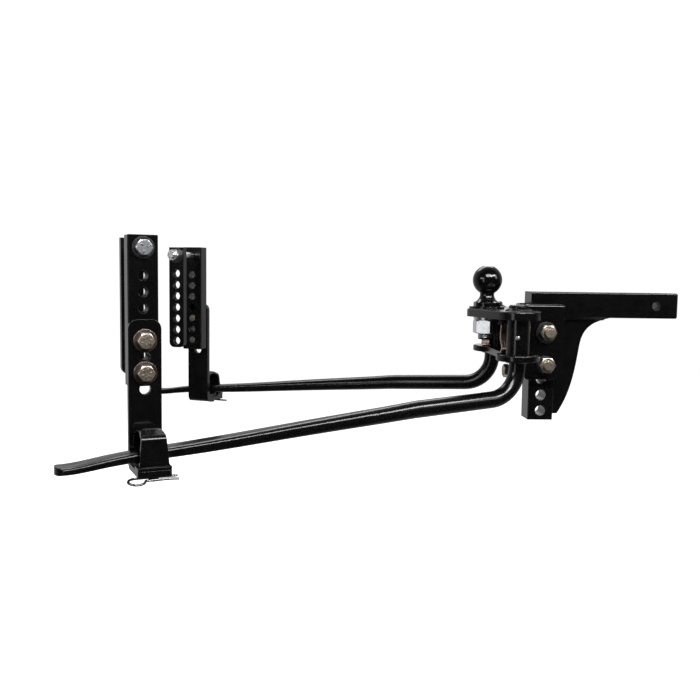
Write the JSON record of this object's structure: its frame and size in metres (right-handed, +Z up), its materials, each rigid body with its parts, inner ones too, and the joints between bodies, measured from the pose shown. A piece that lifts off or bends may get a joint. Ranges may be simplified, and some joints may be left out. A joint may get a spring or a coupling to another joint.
{
  "type": "weight distribution hitch",
  "caption": "Weight distribution hitch: square shank with drop post, tilting ball head, two round spring bars on vertical trunnions and a bolted frame bracket on each bar.",
  "frame": {"origin": "centre of the hitch-pin hole in the shank bar", "axes": "+X along the shank towards the tow vehicle, +Z up, +Y to the far side, along the hitch pin"},
  "size_m": [1.119, 0.8874, 0.3759],
  "materials": {
    "black_paint": "semi-gloss powder coat",
    "black_satin": "satin black oxide",
    "zinc_gold": "yellow zinc plate",
    "zinc_silver": "bright zinc plate",
    "bronze_leaf": "bronze-coloured spring leaf",
    "pad": "friction pad"
  },
  "bodies": {
    "shank": {"shank_bar": "black_paint", "shank_post": "black_paint", "shank_gusset": "black_paint", "shank_welds": "black_paint", "pivot_bolt": "zinc_gold", "pivot_washers": "black_satin", "pivot_nut": "zinc_gold", "lock_bolt": "zinc_gold", "lock_washers": "black_satin", "lock_nut": "zinc_gold"},
    "head": {"cheek_plate_near": "black_paint", "cheek_plate_far": "black_paint", "platform_plate": "black_paint", "lower_plate": "black_paint", "head_webs": "black_paint", "head_welds": "black_paint", "socket_tube_near": "black_paint", "socket_tube_far": "black_paint", "socket_cap_near": "black_paint", "socket_cap_far": "black_paint", "grease_fitting_near": "zinc_silver", "grease_fitting_far": "zinc_silver", "tow_ball": "black_paint", "ball_lock_washer": "zinc_silver", "ball_nut": "zinc_silver", "set_block": "black_paint", "set_bolt": "zinc_gold", "set_jam_nut": "zinc_gold", "clip_lugs": "black_paint", "clip_pin_near": "black_satin", "clip_pin_far": "black_satin"},
    "spring_bar_near": {"spring_bar_near": "black_paint"},
    "retaining_clip_near": {"retaining_clip_near": "bronze_leaf"},
    "bracket_near": {"link_bracket_near": "black_paint", "link_bolts_near": "zinc_gold", "link_washers_near": "zinc_gold", "frame_plate_outer_near": "black_paint", "frame_plate_inner_near": "black_paint", "frame_bolt_near": "zinc_silver", "frame_washers_near": "black_satin", "frame_nut_near": "zinc_silver", "wear_pad_near": "pad", "retainer_cap_near": "black_paint"},
    "hairpin_near": {"hairpin_near": "zinc_silver"},
    "spring_bar_far": {"spring_bar_far": "black_paint"},
    "retaining_clip_far": {"retaining_clip_far": "bronze_leaf"},
    "bracket_far": {"link_bracket_far": "black_paint", "link_bolts_far": "zinc_gold", "link_washers_far": "zinc_gold", "frame_plate_outer_far": "black_paint", "frame_plate_inner_far": "black_paint", "frame_bolt_far": "zinc_silver", "frame_washers_far": "black_satin", "frame_nut_far": "zinc_silver", "wear_pad_far": "pad", "retainer_cap_far": "black_paint"},
    "hairpin_far": {"hairpin_far": "zinc_silver"}
  },
  "joints": [
    {"name": "head_tilt", "type": "hinge", "parent": "shank", "child": "head", "pos_m": [-0.2286, 0, -0.054], "axis": [0, 1, 0], "range_deg": [0, 5]},
    {"name": "bar_swing_near", "type": "hinge", "parent": "head", "child": "spring_bar_near", "pos_m": [-0.2994, -0.108, -0.06], "axis": [0, 0, 1], "range_deg": [-15, 45]},
    {"name": "clip_release_near", "type": "hinge", "parent": "head", "child": "retaining_clip_near", "pos_m": [-0.31933, -0.08425, -0.0325], "axis": [0.766, 0.6428, 0], "range_deg": [0, 14], "stiffness_Nm_per_rad": 1.2},
    {"name": "bracket_slide_near", "type": "slide", "parent": "spring_bar_near", "child": "bracket_near", "axis": [-0.9213, -0.3816, -0.075], "range_m": [-0.04, 0.04]},
    {"name": "hairpin_pull_near", "type": "slide", "parent": "bracket_near", "child": "hairpin_near", "axis": [-0.9239, -0.3827, 0], "range_m": [0, 0.055]},
    {"name": "bar_swing_far", "type": "hinge", "parent": "head", "child": "spring_bar_far", "pos_m": [-0.2994, 0.108, -0.06], "axis": [0, 0, 1], "range_deg": [-45, 15]},
    {"name": "clip_release_far", "type": "hinge", "parent": "head", "child": "retaining_clip_far", "pos_m": [-0.31933, 0.08425, -0.0325], "axis": [-0.766, 0.6428, 0], "range_deg": [0, 14], "stiffness_Nm_per_rad": 1.2},
    {"name": "bracket_slide_far", "type": "slide", "parent": "spring_bar_far", "child": "bracket_far", "axis": [-0.9213, 0.3816, -0.075], "range_m": [-0.04, 0.04]},
    {"name": "hairpin_pull_far", "type": "slide", "parent": "bracket_far", "child": "hairpin_far", "axis": [-0.9239, 0.3827, 0], "range_m": [0, 0.055]}
  ]
}
